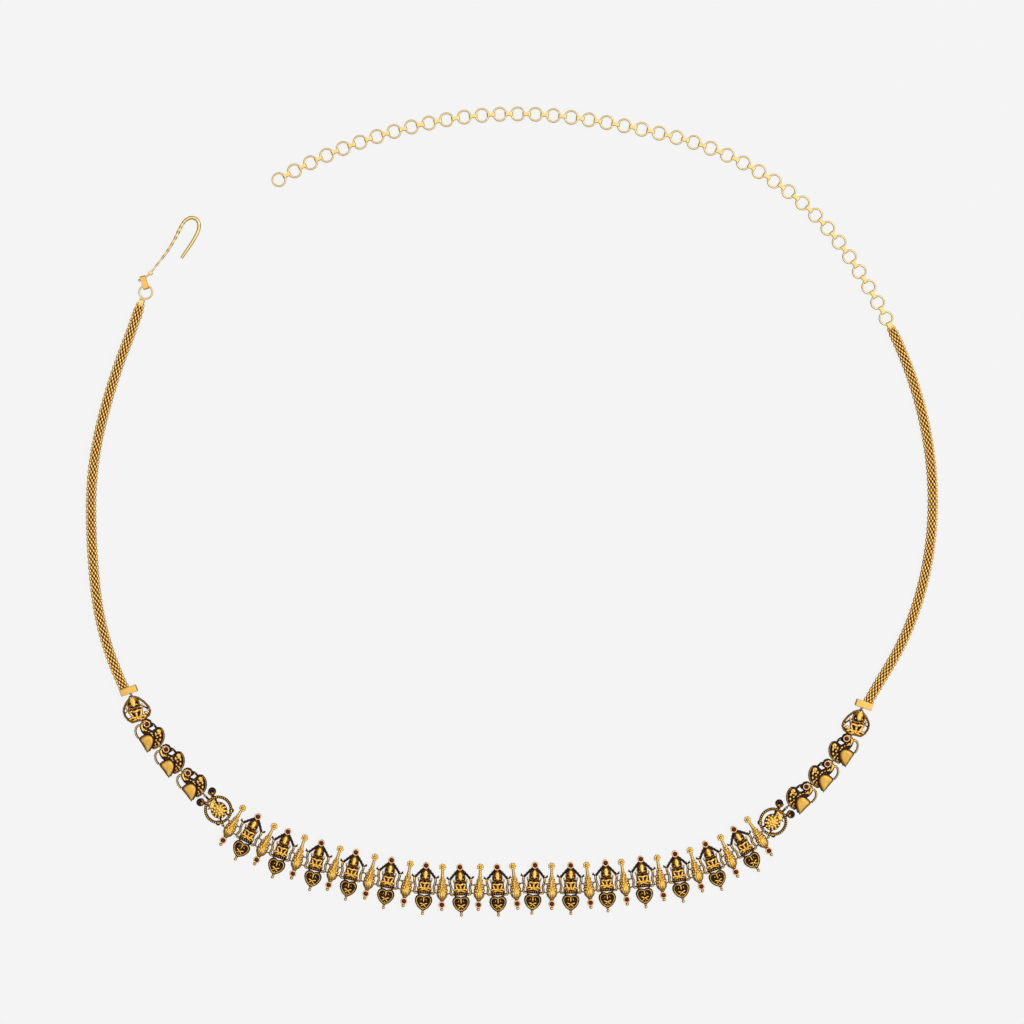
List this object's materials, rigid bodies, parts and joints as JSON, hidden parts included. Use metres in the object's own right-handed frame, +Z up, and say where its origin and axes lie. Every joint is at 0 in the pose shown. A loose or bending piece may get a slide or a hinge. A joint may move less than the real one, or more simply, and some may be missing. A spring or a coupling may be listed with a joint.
{
  "type": "waist belt",
  "caption": "Gold temple style waist belt lying open: cast goddess plates, granulated spindles, peacock links, woven straps, ring chain and hook",
  "frame": {"origin": "middle of the belt's box as it lies, on the table", "axes": "+Z up from the table, -Y toward the front plates, +X to the right strap; the hook lies at -X +Y"},
  "size_m": [0.3068, 0.2911, 0.0029],
  "materials": {
    "cast_gold": "antique, dark in the recesses",
    "satin_gold": "satin",
    "polished_gold": "polished",
    "woven_gold": "woven, satin",
    "link_gold": "darkened",
    "ruby": "faceted gloss"
  },
  "bodies": {
    "root": {"hook": "polished_gold", "hook_bail": "polished_gold", "hook_ring": "polished_gold", "mesh_left": "woven_gold", "mesh_right": "woven_gold", "end_cap_left": "satin_gold", "end_cap_right": "satin_gold", "goddess_link_left": "cast_gold", "goddess_link_right": "cast_gold", "peacock_left_1": "cast_gold", "peacock_left_2": "cast_gold", "peacock_left_3": "cast_gold", "peacock_right_1": "cast_gold", "peacock_right_2": "cast_gold", "peacock_right_3": "cast_gold", "bird_link_left": "cast_gold", "bird_link_right": "cast_gold", "plate_01": "cast_gold", "plate_02": "cast_gold", "plate_03": "cast_gold", "plate_04": "cast_gold", "plate_05": "cast_gold", "plate_06": "cast_gold", "plate_07": "cast_gold", "plate_08": "cast_gold", "plate_09": "cast_gold", "plate_10": "cast_gold", "plate_11": "cast_gold", "plate_12": "cast_gold", "plate_13": "cast_gold", "plate_14": "cast_gold", "plate_15": "cast_gold", "spindle_01": "cast_gold", "spindle_02": "cast_gold", "spindle_03": "cast_gold", "spindle_04": "cast_gold", "spindle_05": "cast_gold", "spindle_06": "cast_gold", "spindle_07": "cast_gold", "spindle_08": "cast_gold", "spindle_09": "cast_gold", "spindle_10": "cast_gold", "spindle_11": "cast_gold", "spindle_12": "cast_gold", "spindle_13": "cast_gold", "spindle_14": "cast_gold", "spindle_15": "cast_gold", "spindle_16": "cast_gold", "rubies": "ruby", "link_rings_left": "link_gold", "link_rings_right": "link_gold", "chain_rings": "polished_gold", "chain_strips": "polished_gold"}
  },
  "joints": []
}
